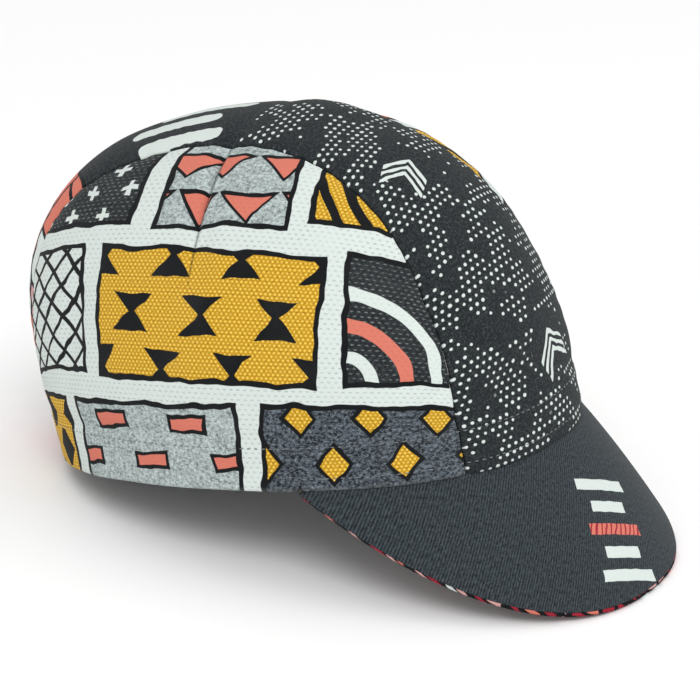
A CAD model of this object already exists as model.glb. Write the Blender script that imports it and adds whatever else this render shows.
# Cycling cap, dressed: printed side panels, a dotted centre panel, a twill peak, a sweatband and its stitches.
#
# The crown is worked out as in the part's source, on a head that looks along -Y, and is then tipped about X to
# the pose in which the cap rests. Lengths of the form are metres. Lengths of the prints are millimetres of cloth.
import math

import bmesh
import bpy
import numpy as np
from mathutils import Matrix, Vector


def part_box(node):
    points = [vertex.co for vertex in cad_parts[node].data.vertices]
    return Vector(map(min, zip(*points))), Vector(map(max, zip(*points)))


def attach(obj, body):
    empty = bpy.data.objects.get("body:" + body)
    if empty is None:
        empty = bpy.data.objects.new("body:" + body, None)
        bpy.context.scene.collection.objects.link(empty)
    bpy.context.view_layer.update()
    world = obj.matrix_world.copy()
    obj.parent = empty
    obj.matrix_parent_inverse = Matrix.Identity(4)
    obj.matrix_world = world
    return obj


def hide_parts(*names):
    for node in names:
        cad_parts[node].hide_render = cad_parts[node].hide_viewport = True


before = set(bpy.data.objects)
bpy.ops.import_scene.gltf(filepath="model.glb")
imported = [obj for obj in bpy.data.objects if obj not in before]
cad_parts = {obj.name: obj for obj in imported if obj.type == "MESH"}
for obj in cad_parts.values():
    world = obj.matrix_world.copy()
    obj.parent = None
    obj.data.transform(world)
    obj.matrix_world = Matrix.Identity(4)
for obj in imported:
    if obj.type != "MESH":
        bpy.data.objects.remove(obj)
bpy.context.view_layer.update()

# Crown
HALF_WIDTH = 0.076
FRONT_LENGTH = 0.099
REAR_LENGTH = 0.097
CROWN_HEIGHT = 0.114
REAR_BULGE = 0.024
FRONT_BULGE = 0.001
NAPE_DROP = 0.008
BROW_DROP = 0.004
PLAN_POWER = 2.1
PROFILE_POWER = 2.18

# Centre panel, measured from its middle line to the seam
STRIP_HALF_FRONT = 0.038
STRIP_HALF_TOP = 0.026
STRIP_HALF_REAR = 0.036

# Peak
PEAK_CORNER_BACK = 0.037
PEAK_REACH = 0.094
PEAK_FALL = 0.055
PEAK_FALL_POWER = 1.22
PEAK_OUTLINE_POWER = 2.25
PEAK_CAMBER = 0.0025
PEAK_THICKNESS = 0.0033
PEAK_SWEEP = 0.985
PEAK_ROLL = 0.0016
PEAK_ROLL_TURN = math.radians(158)
PEAK_TOP_ROUND = 0.0004
PEAK_TOP_DOWN = 0.0007
PEAK_RIM = 0.0012
PEAK_TUCK = 0.002

# Sweatband
BAND_HEIGHT = 0.016
BAND_FOOT = 0.002
BAND_CLOTH = 0.001
BAND_DEPTH = 0.0022
BAND_FLUTTER = 0.00012
BAND_FLUTTERS = 46

# Seams, hem, stitches and rest
SEAM_CLEARANCE = 0.0005
SEAM_DIP = 0.0009
SEAM_DIP_WIDTH = 0.0035
SEAM_HALF_GAP = 0.00005
SEAM_TURN = 0.0008
HEM_ROLL = 0.0007
HEM_ROLL_HEIGHT = 0.005
HEM_TURN = 0.0015
EDGE_ROUND = 0.0008
CLOTH = 0.0006
STITCH_INSET = 0.001
STITCH_DIP = 0.0006
STITCH_DIP_WIDTH = 0.003
STITCH_LENGTH = 0.0016
STITCH_PITCH = 0.0027
STITCH_WIDTH = 0.00042
STITCH_HEIGHT = 0.000336
STITCH_LEAN = 0.06
BROW_STITCH_UP = 0.0042
REST_FLAT = 0.0008

# Darts of the side panels, half way along them
DART_DEPTH = 0.0013
DART_WIDTH = 0.0009
DART_FOOT = 0.07
DART_FADE = 0.02

# Folds and dents, as in the part's source, and then finer creases that only the cloth's surface shows. A row's
# middle lies `around` degrees from the front towards the wearer's right and `up` degrees above the hem.
# `heading` is the way it runs, 0 level and 90 upwards. Reach, spread and depth are shares of the height.
FOLD_COLUMNS = ("name", "around", "up", "heading", "reach", "spread", "depth")
FOLDS = [
    ("dart_right_upper", 90, 66, 90, 0.26, 0.035, 0.014),
    ("dart_right_lower", 88, 44, 90, 0.2, 0.035, 0.01),
    ("dart_left_upper", -90, 66, 90, 0.26, 0.035, 0.014),
    ("dart_left_lower", -88, 44, 90, 0.2, 0.035, 0.01),
    ("top_swell", -30, 82, 0, 0.2, 0.13, -0.01),
    ("top_dip", -3, 71, 0, 0.24, 0.11, 0.018),
    ("brow_slack", 14, 11, 5, 0.34, 0.06, 0.022),
    ("brow_swell", 8, 20, 0, 0.36, 0.09, -0.012),
    ("temple_slant", 29, 29, -50, 0.34, 0.06, 0.014),
    ("temple_crease", 56, 4, 0, 0.3, 0.03, 0.01),
    ("left_temple_crease", -52, 10, 12, 0.3, 0.05, 0.012),
    ("ear_swell", 84, 20, 4, 0.5, 0.12, -0.012),
    ("left_ear_swell", -96, 22, -4, 0.5, 0.12, -0.012),
    ("nape_hollow", 122, 26, 78, 0.3, 0.07, 0.012),
    ("left_nape_hollow", -126, 24, 100, 0.3, 0.07, 0.012),
]
CREASES = [
    ("hem_crease_low", 60, 1.6, 1, 0.22, 0.009, 0.004),
    ("hem_crease_high", 52, 5.5, -2, 0.26, 0.012, 0.005),
    ("ear_crease", 104, 8.5, 1, 0.3, 0.014, 0.004),
    ("brow_crease_left", -14, 9, -12, 0.16, 0.02, 0.006),
    ("brow_crease_right", 34, 13, 16, 0.15, 0.022, 0.006),
    ("temple_crease_fine", 24, 24, -42, 0.18, 0.022, 0.005),
    ("left_brow_crease", -36, 14, -20, 0.16, 0.022, 0.006),
    ("nape_crease", 166, 9, 4, 0.2, 0.02, 0.006),
    ("left_nape_crease", -160, 12, -8, 0.22, 0.02, 0.006),
]
SLACK = 0.0004
PUCKER = 0.00018
PUCKER_PITCH = 0.009
PUCKER_REACH = 0.007

# Camera as the crown was photographed, before it is tipped to its rest
CAMERA_AZIMUTH = -58.0
CAMERA_ELEVATION = 21.7
CAMERA_PITCH = 9.4
CAMERA_DISTANCE = 1.3
FRAME_PIXELS = 700
PIXELS_PER_METRE = 2786
HEM_MIDDLE_PIXEL = (315.4, 415.4)
SENSOR_MM = 36

# Grids. A side panel's columns draw closer at its dart: the share along it, how wide and by how much.
STRIP_COLUMNS = 84
STRIP_ROWS = 330
SIDE_COLUMNS = 270
SIDE_ROWS = 140
DART_COLUMNS = (0.495, 0.012, 6)
PEAK_COLUMNS = 240
PEAK_ROWS = 90
PEAK_CLOSER_CORNERS = 0.55
BAND_COLUMNS = 360
BAND_ROWS = 12
CLOSE_END = 0.03
CURL_STEPS = 5
FINE_STEPS = 801
FINER_STEPS = 2001
FINEST_STEPS = 4001
REST_STEPS = 35
PROBE = 0.004
SLIGHT = 1e-6
SMALLEST = 1e-20
TILT_STEPS = 40
HALF_TURN = math.pi
QUARTER_TURN = math.pi / 2
SIDE_SHOULDER = math.radians(52)


# Form of the crown
def unit(vectors):
    return vectors / np.maximum(np.linalg.norm(vectors, axis=-1, keepdims=True), SMALLEST)


def blend(first, second, share):
    return first + (second - first) * share


def signed_power(value, power):
    return np.sign(value) * np.abs(value) ** power


def bell(distance, width):
    return np.exp(-((distance / width) ** 2))


def points_of(x, y, z):
    return np.stack(np.broadcast_arrays(x, y, z), axis=-1).astype(float)


def scaled(vectors, amounts):
    return vectors * np.asarray(amounts)[..., None]


def laid_on(vectors, normals):
    """Unit directions of vectors laid on a surface with the given outward sides."""
    return unit(vectors - scaled(normals, np.sum(vectors * normals, axis=-1)))


def up_at(height):
    """Angle at which the crown has risen to a height above its hem."""
    return math.asin((height / CROWN_HEIGHT) ** (PROFILE_POWER / 2))


def aim(around, up):
    return points_of(-np.sin(around) * np.cos(up), -np.cos(around) * np.cos(up), np.sin(up))


def folded(rows):
    """The folds of a table, each with the frame that its dent is measured in."""
    folds = []
    for values in rows:
        row = dict(zip(FOLD_COLUMNS, values))
        middle = aim(math.radians(row["around"]), math.radians(row["up"]))
        level = unit(np.cross((0, 0, 1), middle))
        heading = math.radians(row["heading"])
        along = level * math.cos(heading) + np.cross(middle, level) * math.sin(heading)
        folds.append(dict(row, middle=middle, along=along, across=np.cross(middle, along)))
    return folds


folds = folded(FOLDS)
creases = folded(CREASES)


def fold_dent(directions, rows):
    dent = 0.0
    for row in rows:
        offset = directions - row["middle"]
        lengthwise = bell(offset @ row["along"], row["reach"])
        dent = dent + row["depth"] * lengthwise * bell(offset @ row["across"], row["spread"])
    return dent * CROWN_HEIGHT


def crown_shares(directions):
    """Sideways and rearward shares of the plan, the direction's level part and height, spread and rise."""
    level = np.maximum(np.hypot(directions[..., 0], directions[..., 1]), SLIGHT)
    side = signed_power(directions[..., 0] / level, 2 / PLAN_POWER)
    rear = signed_power(directions[..., 1] / level, 2 / PLAN_POWER)
    height = np.maximum(directions[..., 2], 0)
    return side, rear, level, height, level ** (2 / PROFILE_POWER), height ** (2 / PROFILE_POWER)


def smooth_crown(directions):
    side, rear, level, height, spread, rise = crown_shares(directions)
    bulge = blend(FRONT_BULGE, REAR_BULGE, (1 + rear) / 2) * 2 * level * height
    length = np.where(rear < 0, FRONT_LENGTH, REAR_LENGTH)
    drop = np.where(rear < 0, BROW_DROP, NAPE_DROP)
    return points_of(
        side * HALF_WIDTH * spread,
        rear * (length * spread + bulge),
        rise * CROWN_HEIGHT - (1 - rise) * drop * rear * rear,
    )


seam_front = math.asin(STRIP_HALF_FRONT / HALF_WIDTH)
seam_rear = math.asin(STRIP_HALF_REAR / HALF_WIDTH)
seam_top = math.asin((STRIP_HALF_TOP / HALF_WIDTH) ** (PROFILE_POWER / 2))


def seam_angle(course):
    lean = np.cos(course)
    return blend(seam_top, np.where(lean > 0, seam_front, seam_rear), lean * lean)


def course_aim(course, aside):
    return points_of(np.sin(aside), -np.cos(aside) * np.cos(course), np.cos(aside) * np.sin(course))


def course_of(directions):
    return np.arctan2(directions[..., 2], -directions[..., 1])


def aside_of(directions):
    return np.arcsin(np.clip(directions[..., 0], -1, 1))


def seam_distance(directions):
    return (np.abs(aside_of(directions)) - seam_angle(course_of(directions))) * HALF_WIDTH


def main_dent(directions):
    above_hem = directions[..., 2] * CROWN_HEIGHT
    seam = SEAM_DIP * bell(seam_distance(directions), SEAM_DIP_WIDTH)
    stitches = STITCH_DIP * bell(above_hem - BAND_HEIGHT + STITCH_INSET, STITCH_DIP_WIDTH)
    roll = HEM_ROLL * bell(above_hem, HEM_ROLL_HEIGHT)
    return seam + stitches - roll + fold_dent(directions, folds)


def fine_dent(directions):
    """Creases, the dart's groove, puckers beside the seams and the slack of soft cloth."""
    _, rear, _, _, spread, rise = crown_shares(directions)
    dart = DART_DEPTH * bell(rear * spread * FRONT_LENGTH, DART_WIDTH)
    dart = dart * np.clip((rise * CROWN_HEIGHT - DART_FOOT) / DART_FADE, 0, 1)
    dart = dart * np.clip(seam_distance(directions) / SEAM_DIP_WIDTH, 0, 1)
    along_seam = course_of(directions) * CROWN_HEIGHT
    pucker = np.sin(along_seam * 2 * HALF_TURN / PUCKER_PITCH + 2 * np.sin(along_seam / PUCKER_REACH))
    pucker = PUCKER * pucker * bell(seam_distance(directions), PUCKER_REACH)
    x, y, z = (directions[..., axis] for axis in range(3))
    slack = np.sin(7.3 * y + 4.1 * z + 1.7 * np.sin(5.2 * x + 3.0 * z))
    slack = slack * np.sin(6.1 * z - 3.7 * x + 1.3 * np.sin(8.4 * y))
    return fold_dent(directions, creases) + dart + pucker + SLACK * slack


def crown_point(directions, is_fine=True):
    dent = main_dent(directions)
    if is_fine:
        dent = dent + fine_dent(directions)
    return smooth_crown(directions) - scaled(directions, dent)


def crown_normal(directions):
    level = unit(np.cross((0, 0, 1), directions))
    upwards = np.cross(directions, level)
    sideways = crown_point(unit(directions + level * PROBE), False)
    sideways = sideways - crown_point(unit(directions - level * PROBE), False)
    rising = crown_point(unit(directions + upwards * PROBE), False) - crown_point(directions, False)
    return unit(np.cross(sideways, rising))


# Form of the peak, by its sweep from the wearer's right corner at -1 to the left one at 1 and by the share of
# the way from the crown's hem to the outer edge
corner_rear = PEAK_CORNER_BACK / FRONT_LENGTH
corner_around = math.atan2(math.sqrt(1 - corner_rear ** PLAN_POWER), corner_rear ** (PLAN_POWER / 2))
corner = smooth_crown(aim(corner_around, 0.0))
brow = smooth_crown(aim(0.0, 0.0))
peak_heading = unit(corner * (0, 1, 1) - brow - (0, PEAK_REACH, PEAK_FALL))


def peak_point(sweep, share):
    inner = smooth_crown(aim(-sweep * corner_around, 0.0))
    forward = np.maximum(np.cos(sweep * QUARTER_TURN), 0) ** (2 / PEAK_OUTLINE_POWER)
    sideways = signed_power(np.sin(sweep * QUARTER_TURN), 2 / PEAK_OUTLINE_POWER)
    fall = PEAK_FALL * (1 - (1 - forward) ** PEAK_FALL_POWER)
    outer = points_of(-sideways * corner[0], corner[1] - PEAK_REACH * forward, corner[2] - fall)
    camber = PEAK_CAMBER * 4 * share * (1 - share) * forward - SEAM_CLEARANCE
    return inner + scaled(outer - inner, share) + points_of(0, 0, camber)


def peak_normal(sweep, share):
    near = np.clip(share, PROBE, 1 - PROBE)
    across = peak_point(sweep + PROBE, near) - peak_point(sweep - PROBE, near)
    outwards = peak_point(sweep, near + PROBE) - peak_point(sweep, near - PROBE)
    return unit(np.cross(outwards, across))


# Rest: the tip at which the nape and the lower edge of the peak lie equally low
def tipped(points, tilt):
    cosine, sine = math.cos(tilt), math.sin(tilt)
    return points_of(
        points[..., 0],
        points[..., 1] * cosine - points[..., 2] * sine,
        points[..., 1] * sine + points[..., 2] * cosine,
    )


def rest_pose():
    shares = np.linspace(0, 1, REST_STEPS)
    nape = crown_point(aim(blend(QUARTER_TURN, 3 * QUARTER_TURN, shares), 0.0), False)
    sweep = blend(-PEAK_SWEEP, PEAK_SWEEP, shares)
    whole = np.ones_like(sweep)
    edge = peak_point(sweep, whole) - peak_normal(sweep, whole) * PEAK_THICKNESS
    low, high = -QUARTER_TURN / 2, QUARTER_TURN / 2
    for _ in range(TILT_STEPS):
        tilt = (low + high) / 2
        if tipped(nape, tilt)[:, 2].min() > tipped(edge, tilt)[:, 2].min():
            high = tilt
        else:
            low = tilt
    floor = tipped(edge, tilt)[:, 2].min() + REST_FLAT
    tip = tipped(peak_point(np.zeros(1), np.ones(1)), tilt)[0]
    return tilt, np.array((0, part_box("peak_top")[0].y - tip[1], -floor))


rest_tilt, rest_shift = rest_pose()


def rested(points):
    placed = tipped(points, rest_tilt) + rest_shift
    placed[..., 2] = np.maximum(placed[..., 2], 0)
    return placed


# Making of a piece
def close_shares(count, ends, spots=()):
    """Shares from 0 to 1, closer together at both ends and about each spot of (share, width, amount)."""
    places = np.linspace(0, 1, FINEST_STEPS)
    density = 1 + ends * (bell(places, CLOSE_END) + bell(1 - places, CLOSE_END))
    for share, width, amount in spots:
        density = density + amount * bell(places - share, width)
    total = np.concatenate([[0], np.cumsum((density[1:] + density[:-1]) / 2)])
    return np.interp(np.linspace(0, 1, count + 1), total / total[-1], places)


def with_curl(shares, start=True, end=True):
    """The shares with curl steps before and after them, and how far along its curl each step is."""
    first = CURL_STEPS if start else 0
    last = CURL_STEPS if end else 0
    steps = np.arange(-first, len(shares) + last)
    beyond = np.maximum(np.maximum(-steps, steps - len(shares) + 1), 0) / CURL_STEPS
    return shares[np.clip(steps, 0, len(shares) - 1)], beyond


def curl(travel, rounding, turn):
    """How far along and how far down a turned edge lies after a travel over it."""
    angle = np.minimum(travel / rounding, turn)
    past = np.maximum(travel - rounding * turn, 0)
    along = rounding * np.sin(angle) + past * math.cos(turn)
    return along, rounding * (1 - np.cos(angle)) + past * math.sin(turn)


def add_object(name, data):
    placed = bpy.data.objects.new(name, data)
    bpy.context.scene.collection.objects.link(placed)
    return placed


def add_mesh(name, mesh, materials):
    data = bpy.data.meshes.new(name)
    mesh.to_mesh(data)
    mesh.free()
    for material in materials:
        data.materials.append(material)
    return add_object(name, data)


def finish_piece(name, mesh, materials, nodes=()):
    piece = add_mesh(name, mesh, materials)
    piece.data.shade_smooth()
    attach(piece, "root")
    if nodes:
        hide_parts(*nodes)
    return piece


def lay_grid(columns, rows, place):
    """A grid of cloth and each vertex's spot on the flat cloth. place gives each spot, by its column and row,
    its point, its outward side and its place on the flat cloth."""
    mesh = bmesh.new()
    mesh.loops.layers.uv.new("cloth")
    bmesh.ops.create_grid(mesh, x_segments=columns, y_segments=rows, size=0.5)
    spots = np.array([vert.co[:2] for vert in mesh.verts]) + 0.5
    column = np.rint(spots[:, 0] * columns).astype(int)
    row = np.rint(spots[:, 1] * rows).astype(int)
    points, normals, flats = place(column, row)
    for vert, point in zip(mesh.verts, points):
        vert.co = point
    mesh.normal_update()
    outward = sum(vert.normal.dot(Vector(normal)) for vert, normal in zip(mesh.verts, normals))
    if outward < 0:
        bmesh.ops.reverse_faces(mesh, faces=mesh.faces)
    return mesh, flats


def mark_cloth(data, flats):
    """Writes each corner's spot on the flat cloth to the mesh's own map."""
    corners = np.zeros(len(data.loops), np.int32)
    data.loops.foreach_get("vertex_index", corners)
    data.uv_layers["cloth"].data.foreach_set("uv", flats[corners].astype(np.float32).ravel())


def close_ring(data):
    """Joins the first and last column of a grid that runs all the way round."""
    mesh = bmesh.new()
    mesh.from_mesh(data)
    bmesh.ops.remove_doubles(mesh, verts=mesh.verts, dist=SLIGHT)
    mesh.to_mesh(data)
    mesh.free()


def make_cloth(name, columns, rows, place, node, materials, is_ring=False):
    """A piece of cloth on a grid, with its outside and its reverse in the two materials."""
    mesh, flats = lay_grid(columns, rows, place)
    piece = finish_piece(name, mesh, materials, [node])
    mark_cloth(piece.data, flats)
    if is_ring:
        close_ring(piece.data)
    wall = piece.modifiers.new("wall", "SOLIDIFY")
    wall.thickness = CLOTH
    wall.offset = -1
    wall.material_offset = 1
    wall.material_offset_rim = 0


# Lengths on the flat cloth
hem_up = up_at(EDGE_ROUND)
seam_back = (SEAM_HALF_GAP + EDGE_ROUND) / HALF_WIDTH
table_steps = np.linspace(0, 1, FINE_STEPS)


def run_of(points):
    return np.concatenate([[0], np.cumsum(np.linalg.norm(np.diff(points, axis=0), axis=1))])


middle_line = run_of(smooth_crown(course_aim(table_steps * HALF_TURN, 0 * table_steps)))
quarter = table_steps * QUARTER_TURN
section_run = run_of(points_of(
    HALF_WIDTH * np.cos(quarter) ** (2 / PROFILE_POWER),
    0,
    CROWN_HEIGHT * np.sin(quarter) ** (2 / PROFILE_POWER),
))
section_angle = np.arctan2(
    np.sin(quarter) ** (2 / PROFILE_POWER),
    np.cos(quarter) ** (2 / PROFILE_POWER),
)
hem_lengthwise = np.sin(quarter) ** (2 / PLAN_POWER)
hem_run = run_of(points_of(HALF_WIDTH * np.cos(quarter) ** (2 / PLAN_POWER), FRONT_LENGTH * hem_lengthwise, 0))


def strip_flat(directions):
    return np.interp(course_of(directions) / HALF_TURN, table_steps, middle_line)


def side_flat(directions):
    """Spot of the crown on a side panel laid flat: towards the front from the dart, and up from the hem."""
    side, rear, _, _, spread, rise = crown_shares(directions)
    lengthwise = np.clip(np.abs(rear) * spread, 0, 1)
    narrowing = (1 - lengthwise ** PLAN_POWER) ** (1 / PLAN_POWER)
    along = np.interp(lengthwise, hem_lengthwise, hem_run)
    angle = np.arctan2(rise, np.maximum(np.abs(side) * spread, SLIGHT))
    up = np.interp(angle, section_angle, section_run) * blend(narrowing, 1, 0.35)
    return -np.sign(rear) * along, up


# Crown panels
def panel_places(directions, outwards, seam_travel, hem_travel):
    """Points of a crown panel whose edges are turned in: quarter round at its seams, right round at its hem."""
    normals = crown_normal(directions)
    course, aside = course_of(directions), aside_of(directions)
    seam_way = crown_point(course_aim(course, aside + outwards * PROBE), False)
    seam_way = seam_way - crown_point(course_aim(course, aside - outwards * PROBE), False)
    raised = unit(directions + np.array((0, 0, 2 * PROBE)))
    hem_way = crown_point(directions, False) - crown_point(raised, False)
    places = crown_point(directions)
    for way, travel, turn in ((seam_way, seam_travel, QUARTER_TURN), (hem_way, hem_travel, HALF_TURN)):
        along, down = curl(travel, EDGE_ROUND, turn)
        places = places + scaled(laid_on(way, normals), along) - scaled(normals, down)
    return rested(places), tipped(normals, rest_tilt)


def centre_aim(across, along):
    """Aim of the centre panel, from the wearer's right seam to the left and from the brow to the nape."""
    course = along * HALF_TURN
    for _ in range(3):
        edge = seam_angle(course) - seam_back
        aside = blend(-edge, edge, across)
        first = np.arcsin(np.minimum(math.sin(hem_up) / np.cos(aside), 1))
        course = blend(first, HALF_TURN - first, along)
    return course_aim(course, aside)


def make_centre_panel(materials):
    across, across_beyond = with_curl(close_shares(STRIP_COLUMNS, 3))
    along, along_beyond = with_curl(close_shares(STRIP_ROWS, 2))

    def place(column, row):
        directions = centre_aim(across[column], along[row])
        seam_travel = across_beyond[column] * (EDGE_ROUND * QUARTER_TURN + SEAM_TURN)
        hem_travel = along_beyond[row] * (EDGE_ROUND * HALF_TURN + HEM_TURN)
        points, normals = panel_places(directions, np.sign(across[column] - 0.5), seam_travel, hem_travel)
        run = strip_flat(directions) + hem_travel * np.sign(along[row] - 0.5)
        return points, normals, np.stack([aside_of(directions) * HALF_WIDTH, run], axis=-1)

    columns, rows = len(across) - 1, len(along) - 1
    make_cloth("centre_cloth", columns, rows, place, "centre_panel", materials)


def side_aim(side, along, up):
    """Aim of a side panel, spread over a grid whose foot is the hem and whose other edges share the seam."""
    low_front = math.asin(math.sin(hem_up) / math.cos(seam_front + seam_back))
    low_rear = HALF_TURN - math.asin(math.sin(hem_up) / math.cos(seam_rear + seam_back))

    def seam(course):
        return course_aim(course, side * (seam_angle(course) + seam_back))

    def around(course):
        spot = seam(np.array(course))
        return math.atan2(side * spot[0], -spot[1])

    def hem(share):
        return aim(-side * blend(around(low_front), around(low_rear), share), hem_up + 0 * share)

    front = seam(blend(low_front, SIDE_SHOULDER, up))
    rear = seam(blend(low_rear, HALF_TURN - SIDE_SHOULDER, up))
    top = seam(blend(SIDE_SHOULDER, HALF_TURN - SIDE_SHOULDER, along))
    low_corners = hem(0 * along) + scaled(hem(0 * along + 1) - hem(0 * along), along)
    shoulders = (seam(SIDE_SHOULDER + 0 * along), seam(HALF_TURN - SIDE_SHOULDER + 0 * along))
    high_corners = shoulders[0] + scaled(shoulders[1] - shoulders[0], along)
    level = hem(along) + scaled(top - hem(along), up) + front + scaled(rear - front, along)
    return unit(level - low_corners - scaled(high_corners - low_corners, up))


def make_side_panel(name, side, node, materials):
    along, along_beyond = with_curl(close_shares(SIDE_COLUMNS, 3, [DART_COLUMNS]))
    up, up_beyond = with_curl(close_shares(SIDE_ROWS, 3))

    def place(column, row):
        directions = side_aim(side, along[column], up[row])
        at_hem = up[row] < 0.5
        beyond = np.maximum(along_beyond[column], np.where(at_hem, 0, up_beyond[row]))
        seam_travel = beyond * (EDGE_ROUND * QUARTER_TURN + SEAM_TURN)
        hem_travel = np.where(at_hem, up_beyond[row], 0) * (EDGE_ROUND * HALF_TURN + HEM_TURN)
        points, normals = panel_places(directions, -side, seam_travel, hem_travel)
        forward, upward = side_flat(directions)
        return points, normals, np.stack([forward, upward - hem_travel], axis=-1)

    make_cloth(name, len(along) - 1, len(up) - 1, place, node, materials)


# Peak
def make_peak_skin(name, is_top, node, materials):
    """One skin of the peak. The lower one rolls round the edge and shows as a thin rim outside the upper one."""
    even = np.linspace(-1, 1, PEAK_COLUMNS + 1)
    sweeps = blend(even, np.sin(even * QUARTER_TURN), PEAK_CLOSER_CORNERS) * PEAK_SWEEP
    out, out_beyond = with_curl(close_shares(PEAK_ROWS, 1), False, True)
    if is_top:
        inset, rounding, turn = PEAK_RIM, PEAK_TOP_ROUND, QUARTER_TURN
        whole_travel = rounding * turn + PEAK_TOP_DOWN - rounding
    else:
        inset, rounding, turn = 0, PEAK_ROLL, PEAK_ROLL_TURN
        whole_travel = rounding * turn

    def place(column, row):
        sweep, share = sweeps[column], out[row]
        normals = peak_normal(sweep, share)
        outer_edge = peak_point(sweep, 0 * share + 1)
        width = np.linalg.norm(outer_edge - peak_point(sweep, 0 * share), axis=-1)
        inner = -PEAK_TUCK / np.maximum(width, PEAK_TUCK)
        outer = 1 - (inset + rounding) / np.maximum(width, 2 * (inset + rounding))
        way = laid_on(outer_edge - peak_point(sweep, 0 * share + 1 - PROBE), normals)
        travel = out_beyond[row] * whole_travel
        along, down = curl(travel, rounding, turn)
        depth = down if is_top else PEAK_THICKNESS - down
        level = peak_point(sweep, blend(inner, outer, share))
        points = level + scaled(way, along) - scaled(normals, depth)
        flat = np.stack([level[:, 0], (level - brow) @ peak_heading + travel], axis=-1)
        return rested(points), tipped(normals, rest_tilt) * (1 if is_top else -1), flat

    make_cloth(name, PEAK_COLUMNS, len(out) - 1, place, node, materials)


# Sweatband
def make_sweatband(materials):
    foot, top = up_at(BAND_FOOT), up_at(BAND_HEIGHT)
    up, up_beyond = with_curl(close_shares(BAND_ROWS, 0))

    def place(column, row):
        around = column * 2 * HALF_TURN / BAND_COLUMNS
        directions = aim(around, blend(foot, top, up[row]))
        normals = crown_normal(directions)
        flutter = BAND_FLUTTER * np.sin(around * BAND_FLUTTERS + 2.2 * np.sin(around * 5))
        along, down = curl(up_beyond[row] * EDGE_ROUND, EDGE_ROUND * 0.5, QUARTER_TURN)
        upright = points_of(0, 0, np.sign(up[row] - 0.5) * along)
        points = crown_point(directions, False) - scaled(normals, BAND_DEPTH + BAND_CLOTH + flutter - down)
        flat = np.stack([around * HALF_WIDTH, blend(BAND_FOOT, BAND_HEIGHT, up[row])], axis=-1)
        return rested(points + upright), -tipped(normals, rest_tilt), flat

    make_cloth("sweatband_cotton", BAND_COLUMNS, len(up) - 1, place, "sweatband", materials, True)


# Stitches
def make_stitches(name, first, last, height, materials):
    """A row of stitches along the crown at a height above its hem, from one angle round it to another."""
    up = up_at(height)
    fine = np.linspace(first, last, FINER_STEPS)
    run = run_of(crown_point(aim(fine, up), False))
    count = int(run[-1] / STITCH_PITCH)
    middles = (np.arange(count) + 0.5) * run[-1] / count
    around = np.interp(middles, run, fine)
    step = STITCH_LENGTH / 2 / HALF_WIDTH
    places = rested(crown_point(aim(around, up)))
    ahead = rested(crown_point(aim(around + step, up))) - rested(crown_point(aim(around - step, up)))
    normals = tipped(crown_normal(aim(around, up)), rest_tilt)
    mesh = bmesh.new()
    for index, (place, along, normal) in enumerate(zip(places, ahead, normals)):
        along, normal = Vector(along).normalized(), Vector(normal)
        across = normal.cross(along).normalized()
        lean = STITCH_LEAN * math.sin(index * 2.4)
        along = (along + across * lean).normalized()
        across = normal.cross(along).normalized()
        turn = Matrix((along, across, along.cross(across))).transposed().to_4x4()
        size = Matrix.Diagonal((STITCH_LENGTH * (1 + lean), STITCH_WIDTH, STITCH_HEIGHT, 1))
        matrix = Matrix.Translation(Vector(place)) @ turn @ size
        bmesh.ops.create_uvsphere(mesh, u_segments=8, v_segments=6, radius=0.5, matrix=matrix)
    return finish_piece(name, mesh, materials)


# Finishes
class Amount:
    """A number that varies over a surface. The usual signs add, take, multiply and divide such numbers."""

    def __init__(self, finish, socket):
        self.finish = finish
        self.socket = socket

    def __add__(self, other):
        return self.finish.math("ADD", self, other)

    def __sub__(self, other):
        return self.finish.math("SUBTRACT", self, other)

    def __rsub__(self, other):
        return self.finish.math("SUBTRACT", other, self)

    def __mul__(self, other):
        return self.finish.math("MULTIPLY", self, other)

    def __truediv__(self, other):
        return self.finish.math("DIVIDE", self, other)

    def __abs__(self):
        return self.finish.math("ABSOLUTE", self)

    __radd__ = __add__
    __rmul__ = __mul__


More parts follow.
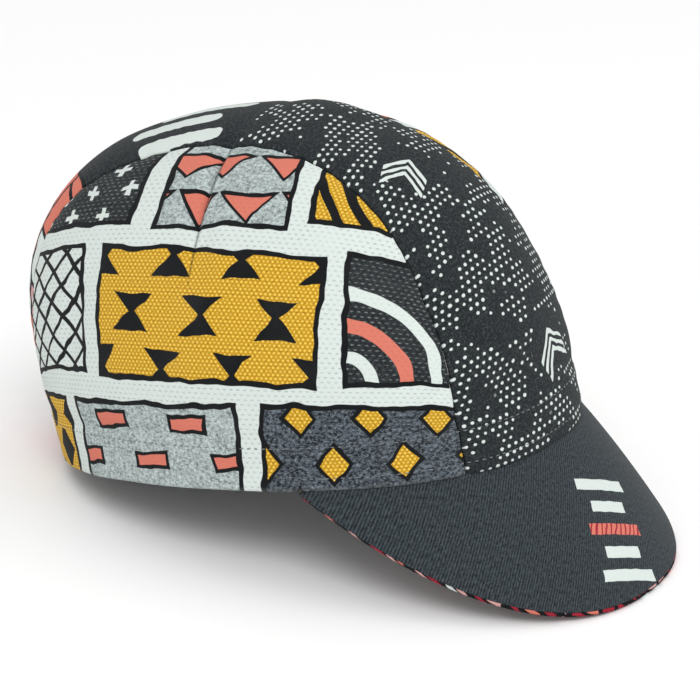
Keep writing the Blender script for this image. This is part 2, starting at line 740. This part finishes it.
class Finish:
    """One material, with the nodes that its surface is worked out by."""

    def __init__(self, name, **constants):
        self.material = bpy.data.materials.new(name)
        self.material.use_nodes = True
        self.tree = self.material.node_tree
        self.tree.nodes.clear()
        self.surface = self.node("ShaderNodeBsdfPrincipled", constants)
        self.node("ShaderNodeOutputMaterial", {"Surface": self.surface.outputs["BSDF"]})

    def node(self, kind, inputs=None, **settings):
        node = self.tree.nodes.new(kind)
        for name, value in settings.items():
            setattr(node, name, value)
        for name, value in (inputs or {}).items():
            self.feed(node.inputs[name], value)
        return node

    def feed(self, socket, value):
        if isinstance(value, Amount):
            value = value.socket
        if isinstance(value, bpy.types.NodeSocket):
            self.tree.links.new(value, socket)
        elif isinstance(value, tuple) and len(value) == 3 and socket.type == "RGBA":
            socket.default_value = (*value, 1)
        else:
            socket.default_value = value

    def math(self, operation, *values):
        return Amount(self, self.node("ShaderNodeMath", dict(enumerate(values)), operation=operation).outputs[0])

    def flat_cloth(self):
        """The spot on the flat cloth, in millimetres."""
        where = self.node("ShaderNodeUVMap", uv_map="cloth").outputs[0]
        parts = self.node("ShaderNodeSeparateXYZ", {0: where})
        return Amount(self, parts.outputs[0]) * 1000, Amount(self, parts.outputs[1]) * 1000

    def vector(self, x, y, z=0.0):
        return self.node("ShaderNodeCombineXYZ", {0: x, 1: y, 2: z}).outputs[0]

    def noise(self, where, scale, detail=2.0, rough=0.5):
        """Uneven values about nought, from -0.5 to 0.5, at a spot given by its numbers or by a socket."""
        where = self.vector(*where) if isinstance(where, tuple) else where
        inputs = {"Vector": where, "Scale": scale, "Detail": detail, "Roughness": rough}
        return Amount(self, self.node("ShaderNodeTexNoise", inputs).outputs["Fac"]) - 0.5

    def pick(self, x, y):
        """A number from 0 to 1, another one for each pair of x and y."""
        where = {"Vector": self.vector(x, y)}
        return Amount(self, self.node("ShaderNodeTexWhiteNoise", where).outputs["Value"])

    def mix(self, share, first, second):
        return self.node("ShaderNodeMix", {0: share, 6: first, 7: second}, data_type="RGBA").outputs[2]

    def layers(self, ground, *layers):
        """Colours laid over a ground one after another, each where its share says."""
        for share, colour in layers:
            ground = self.mix(share, ground, colour)
        return ground

    def within(self, distance, limit=0.0, soft=0.12):
        """1 where a distance is below its limit and 0 beyond it, with an edge as soft as the print's."""
        inputs = {"Value": distance, "From Min": limit - soft, "From Max": limit + soft, "To Min": 1.0, "To Max": 0.0}
        return Amount(self, self.node("ShaderNodeMapRange", inputs, interpolation_type="SMOOTHSTEP").outputs[0])

    def ramp(self, value, low, high):
        """0 below the low value, 1 above the high one."""
        inputs = {"Value": value, "From Min": low, "From Max": high}
        return Amount(self, self.node("ShaderNodeMapRange", inputs).outputs[0])

    def most(self, first, second):
        return self.math("MAXIMUM", first, second)

    def least(self, first, second):
        return self.math("MINIMUM", first, second)

    def wave(self, value, length):
        return self.math("SINE", value * (2 * math.pi / length))

    def fold(self, value, pitch):
        """Distance to the nearest multiple of a pitch."""
        return self.math("PINGPONG", value, pitch / 2)

    def length(self, x, y):
        return self.math("SQRT", x * x + y * y)

    def turned(self, x, y, degrees):
        cosine, sine = math.cos(math.radians(degrees)), math.sin(math.radians(degrees))
        return x * cosine + y * sine, y * cosine - x * sine

    def lattice(self, x, y, wide, tall):
        """Offsets from the nearest middle of a staggered lattice, and where that middle lies."""
        row = self.math("FLOOR", y / tall + 0.5)
        shift = self.math("FLOORED_MODULO", row, 2.0) * (wide / 2)
        column = self.math("FLOOR", (x + shift) / wide + 0.5)
        middle_x, middle_y = column * wide - shift, row * tall
        return x - middle_x, y - middle_y, middle_x, middle_y

    def bump(self, height, distance):
        """height is 1 for a rise of the given distance in metres."""
        inputs = {"Height": height, "Distance": distance, "Strength": 1.0}
        self.feed(self.surface.inputs["Normal"], self.node("ShaderNodeBump", inputs).outputs[0])

    def paint(self, colour, fibres, rough=0.84, uneven=0.12):
        self.feed(self.surface.inputs["Base Color"], colour)
        self.feed(self.surface.inputs["Roughness"], fibres * uneven + rough)


CHARCOAL = (0.012, 0.016, 0.0185)
INK = (0.006, 0.007, 0.008)
WHITE = (0.62, 0.68, 0.65)
WHITE_DIMPLE = (0.26, 0.3, 0.29)
MUSTARD_DARK = (0.5, 0.27, 0.014)
MUSTARD_LIGHT = (0.88, 0.61, 0.105)
MUSTARD_DIMPLE = (0.22, 0.1, 0.008)
GREY_DARK = (0.085, 0.105, 0.107)
GREY_LIGHT = (0.56, 0.64, 0.63)
SLATE_DARK = (0.007, 0.009, 0.013)
SLATE_LIGHT = (0.2, 0.24, 0.28)
CORAL = (0.62, 0.175, 0.125)
PINK = (0.6, 0.33, 0.31)
RED = (0.32, 0.018, 0.035)
TWILL_DARK = (0.01, 0.0135, 0.016)
TWILL_LIGHT = (0.062, 0.077, 0.088)
LINT = (0.4, 0.42, 0.41)
REVERSE = (0.33, 0.35, 0.35)
THREAD_GREY = (0.16, 0.17, 0.175)
FLOOR_WHITE = (0.92, 0.92, 0.92)

# Lengths of the weaves and of the side print, in millimetres
THREAD = 0.42
BAND_THREAD = 0.8
PORE_WIDE = 2.4
PORE_TALL = 1.7
KNOT_WIDE = 1.6
KNOT_TALL = 1.25
OUTLINE = 1.9
WANDER = 3.2
SHAKE = 1.3
DART_START_MM = 68.0
DART_RUN_MM = 52.0
DART_TAKE_MM = 5.0
DART_SHADE_MM = 8.0
SHARP = 0.001


def cloth_finish(name, sheen=0.04):
    return Finish(name, **{"Specular IOR Level": 0.12, "Sheen Weight": sheen, "Sheen Roughness": 0.5})


def shades(colour, *shares):
    return (tuple(value * share for value in colour) for share in shares)


def cloth_weave(finish, x, y, thread=THREAD):
    """Height of a plain weave, 0 between the threads and 1 on top of them."""
    over = finish.fold(x, thread) * (2 / thread)
    under = finish.fold(y, thread) * (2 / thread)
    return (over + under) * 0.5


def even_fibres(finish, x, y):
    return finish.noise((x, y), 2.4, 3.0, 0.7)


def drawn_fibres(finish, x, y):
    return finish.noise((x * 0.8, y * 2.4), 2.2, 3.0, 0.7)


def heather(finish, x, y, dark, light, first_light, all_light):
    """Yarn of dark and light fibres, drawn out a little along the cloth."""
    specks = finish.noise((x * 0.75, y * 0.85), 1.0, 4.0, 0.85)
    patches = finish.noise((x, y), 0.2, 2.0)
    return finish.mix(finish.ramp(specks * 2.6 + patches * 0.5, first_light, all_light), dark, light)


def grain(finish, x, y):
    """Pale fibres that show through an evenly dyed cloth."""
    return finish.ramp(finish.noise((x, y, 21.0), 0.9, 4.0, 0.9), -0.02, 0.22) * 0.15


# Motifs of the side print. Each gives its layers for a spot counted from the middle of its tile, in millimetres.
def harlequin(finish, x, y, tile, wide=22.0, tall=14.0, half=7.2):
    dx, dy, *_ = finish.lattice(x, y, wide, tall)
    return [(finish.within(abs(dx) + abs(dy) * 0.8, half), INK)]


def stripes(finish, x, y, tile, pitch=8.0, half=1.7, lean=28):
    return [(finish.within(finish.fold(finish.turned(x, y, lean)[0], pitch), half), INK)]


def coral_bricks(finish, x, y, tile, wide=34.0, tall=14.0, half_wide=6.6, half_tall=2.0, rim=1.4):
    dx, dy, *_ = finish.lattice(x, y, wide, tall)
    brick = finish.most(abs(dx) - half_wide, abs(dy) - half_tall)
    return [(finish.within(brick, rim), INK), (finish.within(brick), CORAL)]


def coral_wedges(finish, x, y, tile, wide=21.0, tall=17.0, half=4.6, rim=1.6):
    dx, dy, *_ = finish.lattice(x, y, wide, tall)
    wedge = finish.most(abs(dx) * 1.2 - dy - half, dy - half)
    return [(finish.within(wedge, rim), INK), (finish.within(wedge), CORAL)]


def lozenges(finish, x, y, tile, wide=24.0, tall=16.5, half=6.6, inner=4.8):
    dx, dy, *_ = finish.lattice(x, y, wide, tall)
    lozenge = abs(dx) + abs(dy) * 0.8
    return [(finish.within(lozenge, half), INK), (finish.within(lozenge, inner), tile["filling"])]


def netting(finish, x, y, tile, along_pitch=9.0, across_pitch=7.6, half=0.85):
    along, across = finish.turned(x, y, 45)
    mesh = finish.least(finish.fold(along, along_pitch), finish.fold(across, across_pitch))
    return [(finish.within(mesh, half), INK)]


def hourglasses(finish, x, y, tile, wide=27.0, tall=19.5, waist=1.1, half=6.8):
    dx, dy, *_ = finish.lattice(x, y, wide, tall)
    return [(finish.within(finish.most(abs(dx) - abs(dy) * 0.9 - waist, abs(dy) - half)), INK)]


def corner_arcs(finish, x, y, tile, pitch=11.0, half=2.3, reach=36.0):
    radius = finish.length(x + tile["wide"] / 2, y + tile["tall"] / 2)
    arcs = finish.within(finish.fold(radius, pitch), half) * finish.within(radius, reach)
    return [(arcs, finish.mix(finish.within(finish.fold(radius, pitch * 2), pitch / 2), WHITE, CORAL))]


def plus_signs(finish, x, y, tile, wide=15.0, tall=10.0, reach=3.0, half=0.85):
    dx, dy, *_ = finish.lattice(x, y, wide, tall)
    level = finish.most(abs(dx) - reach, abs(dy) - half)
    upright = finish.most(abs(dx) - half, abs(dy) - reach)
    return [(finish.within(finish.least(level, upright)), WHITE)]


# Tiles of the side print. rear and front are counted forwards from the dart, low and high up from the hem.
TILE_COLUMNS = ("name", "rear", "front", "low", "high", "lean", "ground", "motif")
TILES = [
    ("hem_rear", -126, -62, -12, 31, -2, "mustard", harlequin),
    ("hem_side", -55, 20, -12, 30, 1, "grey", coral_bricks),
    ("hem_front", 27, 126, -12, 31, -1, "slate", lozenges),
    ("rear", -126, -44, 38, 85, 1, "white", netting),
    ("side", -37, 48, 37, 84, -1, "mustard", hourglasses),
    ("front", 55, 108, 38, 86, 1, "charcoal", corner_arcs),
    ("top_rear", -112, -26, 92, 140, -1, "charcoal", plus_signs),
    ("top_side", -19, 34, 91, 140, 1, "grey", coral_wedges),
    ("top_front", 41, 110, 93, 140, -2, "mustard", stripes),
]


def printed_cloth(name):
    """Sportswear cloth with pores, printed with tiles between white sashes."""
    finish = cloth_finish(name)
    flat_x, y = finish.flat_cloth()
    take = finish.ramp(y, DART_START_MM, DART_START_MM + DART_RUN_MM) * DART_TAKE_MM
    x = flat_x + finish.math("SIGN", flat_x) * take
    shake = finish.noise((x, y, 9.0), 0.2, 0.0)
    drawn_x = x + finish.noise((x, y, 3.0), 0.07, 0.0) * WANDER + shake * SHAKE
    drawn_y = y + finish.noise((x, y, 17.0), 0.07, 0.0) * WANDER - shake * SHAKE
    dx, dy, *_ = finish.lattice(flat_x, y, PORE_WIDE, PORE_TALL)
    patchy = finish.ramp(finish.noise((flat_x, y, 50.0), 0.12, 2.0), -0.3, 0.2)
    pores = finish.within(finish.length(dx * 0.45, dy), 0.25, 0.14)
    knot_x, knot_y, *_ = finish.lattice(flat_x, y, KNOT_WIDE, KNOT_TALL)
    knots = finish.within(finish.length(knot_x, knot_y), 0.38, 0.26)
    fibres = drawn_fibres(finish, flat_x, y)
    dimples = pores * patchy
    grey = heather(finish, flat_x, y, GREY_DARK, GREY_LIGHT, -0.42, 0.34)
    slate = heather(finish, flat_x + 40.0, y, SLATE_DARK, SLATE_LIGHT, -0.18, 0.5)
    grounds = {
        "white": finish.layers(WHITE, (dimples * 0.6, WHITE_DIMPLE)),
        "mustard": finish.layers(MUSTARD_DARK, (knots, MUSTARD_LIGHT), (dimples * 0.6, MUSTARD_DIMPLE)),
        "grey": finish.mix(dimples * 0.25, grey, WHITE),
        "slate": finish.mix(dimples * 0.15, slate, WHITE),
        "charcoal": finish.layers(CHARCOAL, (grain(finish, flat_x, y), LINT), (dimples * 0.3, WHITE)),
    }
    colour = grounds["white"]
    for values in TILES:
        tile = dict(zip(TILE_COLUMNS, values), filling=grounds["mustard"])
        wide, tall = tile["front"] - tile["rear"], tile["high"] - tile["low"]
        tile.update(wide=wide, tall=tall)
        middle = ((tile["front"] + tile["rear"]) / 2, (tile["high"] + tile["low"]) / 2)
        local_x, local_y = finish.turned(drawn_x - middle[0], drawn_y - middle[1], tile["lean"])
        edge = finish.most(abs(local_x) - wide / 2, abs(local_y) - tall / 2)
        inside = finish.layers(grounds[tile["ground"]], *tile["motif"](finish, local_x, local_y, tile))
        colour = finish.layers(colour, (finish.within(edge), INK), (finish.within(edge, -OUTLINE), inside))
    worn = finish.noise((flat_x, y, 30.0), 0.05, 3.0)
    at_hem = finish.within(abs(y), 1.2, 1.0) * 0.1
    colour = finish.mix(finish.ramp(worn + fibres * 0.6, 0.0, 0.9) * 0.08 + at_hem, colour, LINT)
    in_dart = finish.within(abs(flat_x), 0.3, 0.25) * finish.ramp(y, DART_START_MM, DART_START_MM + DART_SHADE_MM)
    finish.paint(finish.mix(in_dart * 0.6, colour, INK), fibres)
    finish.bump(cloth_weave(finish, flat_x, y) * 0.4 + knots * 0.5 - pores + fibres * 0.5, 0.00013)
    return finish.material


# Marks of the centre panel, in place of one dot cluster each. x is towards the wearer's left, run from the brow.
CHEVRONS = [
    dict(name="brow_chevrons", x=9, run=34, size=8.5, lean=18),
    dict(name="crown_chevrons", x=-6, run=112, size=8.0, lean=-64),
]
BARS = [
    dict(name="right_bar", x=-20, run=202),
    dict(name="right_middle_bar", x=-9, run=209),
    dict(name="left_middle_bar", x=3, run=203),
    dict(name="left_bar", x=15, run=210),
]
BAR_HALF = 16.0
BAR_WIDTH = 3.2
BAR_LEAN = 6
DOT_WIDE = 3.0
DOT_TALL = 2.7
DOTS_END = 174.0
REAR_PRINT_START = 252.0
BLOCK_WIDE = 15.0
BLOCK_TALL = 21.0


def nested_chevrons(finish, x, y, size):
    """Three white chevrons, one inside the other, and how far a spot lies from them all."""
    line = abs(x) * 0.9 + y
    bars = finish.within(finish.fold(line, size * 0.42), size * 0.11)
    room = finish.most(abs(line) - size * 0.72, abs(x) - size)
    return bars * finish.within(room), finish.length(x, y) - size * 1.35


def dotted_cloth(name):
    """Charcoal cloth with soft clusters of white dots, and blocks of colour at the rear."""
    finish = cloth_finish(name)
    x, run = finish.flat_cloth()
    shake = finish.noise((x, run, 5.0), 0.35, 0.0)
    leaning_x, leaning_run = finish.turned(x, run, 4.0)
    dx, dy, dot_x, dot_run = finish.lattice(leaning_x, leaning_run, DOT_WIDE, DOT_TALL)
    clusters = finish.noise((dot_x, dot_run * 1.15, 2.0), 0.085, 1.0)
    clusters = clusters + finish.noise((dot_x, dot_run, 40.0), 0.3, 0.0) * 0.35
    sizes = finish.noise((dot_x, dot_run, 12.0), 0.9, 0.0)
    rough = finish.noise((x, run, 8.0), 1.4, 1.0)
    dots = finish.within(finish.length(dx * 0.88, dy) + rough * 0.2, 0.56 + sizes * 0.45, 0.14)
    shares = finish.within(clusters * -1, 0.02, SHARP) * finish.within(dot_run, DOTS_END, 0.01) * dots
    fibres = drawn_fibres(finish, x, run)
    marks = 0.0
    for mark in CHEVRONS:
        drawn_x, drawn_y = finish.turned(x - mark["x"] + shake, run - mark["run"] + shake, mark["lean"])
        bars, apart = nested_chevrons(finish, drawn_x, drawn_y, mark["size"])
        shares = shares * finish.within(apart * -1)
        marks = finish.most(marks, bars)
    for bar in BARS:
        across, along = finish.turned(x - bar["x"] + shake, run - bar["run"] + shake, BAR_LEAN)
        beyond = finish.most(abs(along) - BAR_HALF, 0.0)
        marks = finish.most(marks, finish.within(finish.length(across, beyond), BAR_WIDTH))
    slanting = x + run * 0.25
    column = finish.math("FLOOR", slanting / BLOCK_WIDE)
    rising = run + column * (BLOCK_TALL * 0.37)
    row = finish.math("FLOOR", rising / BLOCK_TALL)
    pick = finish.pick(column, row)
    block_edge = finish.least(finish.fold(slanting, BLOCK_WIDE), finish.fold(rising, BLOCK_TALL))
    blocks = finish.layers(
        CORAL,
        (finish.within(pick, 0.62, SHARP), WHITE),
        (finish.within(pick, 0.34, SHARP), CHARCOAL),
        (finish.within(pick, 0.12, SHARP), PINK),
        (finish.within(block_edge + shake * 0.6, 1.0), INK),
    )
    border = run + finish.wave(x, 38.0) * 4.0 + shake
    colour = finish.layers(
        CHARCOAL,
        (grain(finish, x, run), LINT),
        (shares, WHITE),
        (marks, WHITE),
        (finish.within(border * -1, -REAR_PRINT_START), INK),
        (finish.within(border * -1, -REAR_PRINT_START - OUTLINE), blocks),
    )
    finish.paint(colour, fibres)
    finish.bump(cloth_weave(finish, x, run) * 0.6 + fibres * 0.6, 0.00012)
    return finish.material


TWILL_PITCH = 0.9
FLOAT_PITCH = 0.7
RUNG_PITCH = 8.5
RUNG_THICK = 2.1
RUNG_HALF = 12.5
RUNG_SHORTER = 4.0
LADDER_MIDDLE = 36.5
LADDER_LEAN = 24


def twill_cloth(name):
    """Charcoal twill whose fine slanting ribs catch the light, with slanting white and coral rungs near the tip."""
    finish = cloth_finish(name, 0.05)
    x, run = finish.flat_cloth()
    slant, rib_along = finish.turned(x, run, 45)
    fibres = finish.noise((slant * 1.5, rib_along * 0.7), 0.95, 4.0, 0.85)
    ribs = finish.fold(slant + fibres * 0.6, TWILL_PITCH) * (2 / TWILL_PITCH)
    floats = finish.fold(rib_along + fibres * 0.3, FLOAT_PITCH) * (2 / FLOAT_PITCH)
    shake = finish.noise((x, run, 5.0), 0.3, 0.0)
    across, along = finish.turned(x + 1.0 + shake, run - LADDER_MIDDLE + shake, LADDER_LEAN)
    place = finish.math("FLOOR", along / RUNG_PITCH + 0.5)
    from_rung = abs(along - place * RUNG_PITCH)
    half = RUNG_HALF - finish.math("FLOORED_MODULO", place, 2.0) * RUNG_SHORTER
    rung = finish.most(from_rung - RUNG_THICK, abs(across) - half)
    ladder = finish.within(abs(along), RUNG_PITCH * 2.5, 0.01)
    is_coral = finish.within(abs(place), 0.5, 0.01)
    hatch = finish.within(finish.fold(across + along * 0.4, 2.4), 0.4)
    coral = finish.mix(hatch, CORAL, RED)
    colour = finish.layers(
        finish.mix(ribs * 0.7 + floats * 0.1 + fibres * 3.6 - 0.02, TWILL_DARK, TWILL_LIGHT),
        (finish.within(rung) * ladder, finish.mix(is_coral, WHITE, coral)),
    )
    finish.paint(colour, fibres, 0.8, 0.15)
    finish.bump(ribs * 0.6 + floats * 0.15 + fibres * 0.7, 0.00015)
    return finish.material


CONFETTI_WIDE = 7.0
CONFETTI_TALL = 4.6


def lining_cloth(name):
    """Smooth cotton printed with close confetti in red, pink, white and black."""
    finish = cloth_finish(name, 0.0)
    x, run = finish.flat_cloth()
    shake = finish.noise((x, run, 5.0), 0.2, 0.0) * 4.0
    dx, dy, spot_x, spot_y = finish.lattice(x + shake, run - shake, CONFETTI_WIDE, CONFETTI_TALL)
    pick = finish.pick(spot_x, spot_y)
    shape = finish.most(abs(dx) - 2.4, abs(dy) - 1.5)
    fills = finish.layers(
        RED,
        (finish.within(pick, 0.55, SHARP), PINK),
        (finish.within(pick, 0.24, SHARP), WHITE),
        (finish.within(pick, 0.16, SHARP), CORAL),
    )
    fibres = even_fibres(finish, x, run)
    finish.paint(finish.mix(finish.within(shape), INK, fills), fibres)
    finish.bump(cloth_weave(finish, x, run) + fibres * 0.4, 0.0001)
    return finish.material


def plain_cloth(name, colour, thread=THREAD):
    """Undyed or evenly dyed plain weave."""
    finish = cloth_finish(name, 0.05)
    x, y = finish.flat_cloth()
    fibres = even_fibres(finish, x, y)
    uneven = finish.noise((x, y, 7.0), 0.1, 3.0)
    weave = cloth_weave(finish, x, y, thread)
    lighter = weave * 0.5 + fibres * 0.6 + uneven * 0.5 + 0.25
    finish.paint(finish.mix(lighter, *shades(colour, 0.7, 1.25)), fibres)
    finish.bump(weave + fibres * 0.4, 0.0001)
    return finish.material


def thread_finish(name, colour):
    """Twisted sewing thread."""
    finish = Finish(name, **{"Specular IOR Level": 0.35, "Sheen Weight": 0.2, "Sheen Roughness": 0.4})
    fibres = finish.noise(finish.node("ShaderNodeTexCoord").outputs["Object"], 2600.0, 2.0, 0.6)
    finish.paint(finish.mix(fibres + 0.5, *shades(colour, 0.6, 1.4)), fibres, 0.7, 0.1)
    finish.bump(fibres, 0.00006)
    return finish.material


reverse_cloth = plain_cloth("cloth_reverse", REVERSE)
side_print = printed_cloth("side_print")
centre_dots = dotted_cloth("centre_dots")
peak_twill = twill_cloth("peak_twill")
peak_print = lining_cloth("peak_lining")
band_cotton = plain_cloth("band_cotton", INK, BAND_THREAD)
grey_thread = thread_finish("stitch_thread", THREAD_GREY)

# The cap
nodes_of_sides = {-1: "side_panel_right", 1: "side_panel_left"}
make_centre_panel([centre_dots, reverse_cloth])
for side, node in nodes_of_sides.items():
    make_side_panel(node.replace("panel", "cloth"), side, node, [side_print, reverse_cloth])
make_peak_skin("peak_twill", True, "peak_top", [peak_twill, peak_twill])
make_peak_skin("peak_lining", False, "peak_underside", [peak_print, peak_print])
make_sweatband([band_cotton, band_cotton])
band_line = BAND_HEIGHT - STITCH_INSET
make_stitches("band_stitches", 0, 2 * HALF_TURN, band_line, [grey_thread])
make_stitches("brow_stitches", -corner_around, corner_around, BROW_STITCH_UP, [grey_thread])


# Floor, light and camera
FLOOR_HALF = 6
LIT_SPOT = (0, 0, 0.05)


def make_floor():
    mesh = bmesh.new()
    bmesh.ops.create_grid(mesh, x_segments=1, y_segments=1, size=FLOOR_HALF)
    paper = Finish("paper", **{"Base Color": FLOOR_WHITE, "Roughness": 0.9})
    add_mesh("floor", mesh, [paper.material])


def add_lamp(name, place, size, power):
    lamp = bpy.data.lights.new(name, "AREA")
    lamp.shape = "DISK"
    lamp.size = size
    lamp.energy = power
    holder = add_object(name, lamp)
    holder.location = place
    holder.rotation_euler = (Vector(LIT_SPOT) - Vector(place)).to_track_quat("-Z", "Y").to_euler()


def set_world(strength):
    bpy.context.scene.view_settings.view_transform = "Standard"
    world = bpy.data.worlds.new("studio")
    world.use_nodes = True
    sky = world.node_tree.nodes["Background"].inputs
    sky["Color"].default_value = (1, 1, 1, 1)
    sky["Strength"].default_value = strength
    bpy.context.scene.world = world


def add_camera():
    azimuth, elevation = math.radians(CAMERA_AZIMUTH), math.radians(CAMERA_ELEVATION)
    right = Vector((math.cos(azimuth), math.sin(azimuth), 0))
    back = Vector((
        math.sin(azimuth) * math.cos(elevation),
        -math.cos(azimuth) * math.cos(elevation),
        math.sin(elevation),
    ))
    upright = back.cross(right)
    turn = Matrix.Rotation(rest_tilt + math.radians(CAMERA_PITCH), 3, "X")
    right, upright, back = turn @ right, turn @ upright, turn @ back
    shift_right = (FRAME_PIXELS / 2 - HEM_MIDDLE_PIXEL[0]) / PIXELS_PER_METRE
    shift_up = (HEM_MIDDLE_PIXEL[1] - FRAME_PIXELS / 2) / PIXELS_PER_METRE
    target = Vector(rest_shift) + right * shift_right + upright * shift_up
    camera = bpy.data.cameras.new("camera")
    camera.sensor_width = SENSOR_MM
    camera.lens = SENSOR_MM * PIXELS_PER_METRE * CAMERA_DISTANCE / FRAME_PIXELS
    camera.clip_start = 0.05
    holder = add_object("camera", camera)
    place = Matrix((right, upright, back)).transposed().to_4x4()
    place.translation = target + back * CAMERA_DISTANCE
    holder.matrix_world = place
    bpy.context.scene.camera = holder


make_floor()
set_world(0.88)
add_lamp("key_lamp", (-0.9, -0.5, 1.3), 0.9, 9)
add_lamp("fill_lamp", (0.6, -1.4, 0.9), 1.2, 5)
add_camera()

bpy.context.view_layer.update()
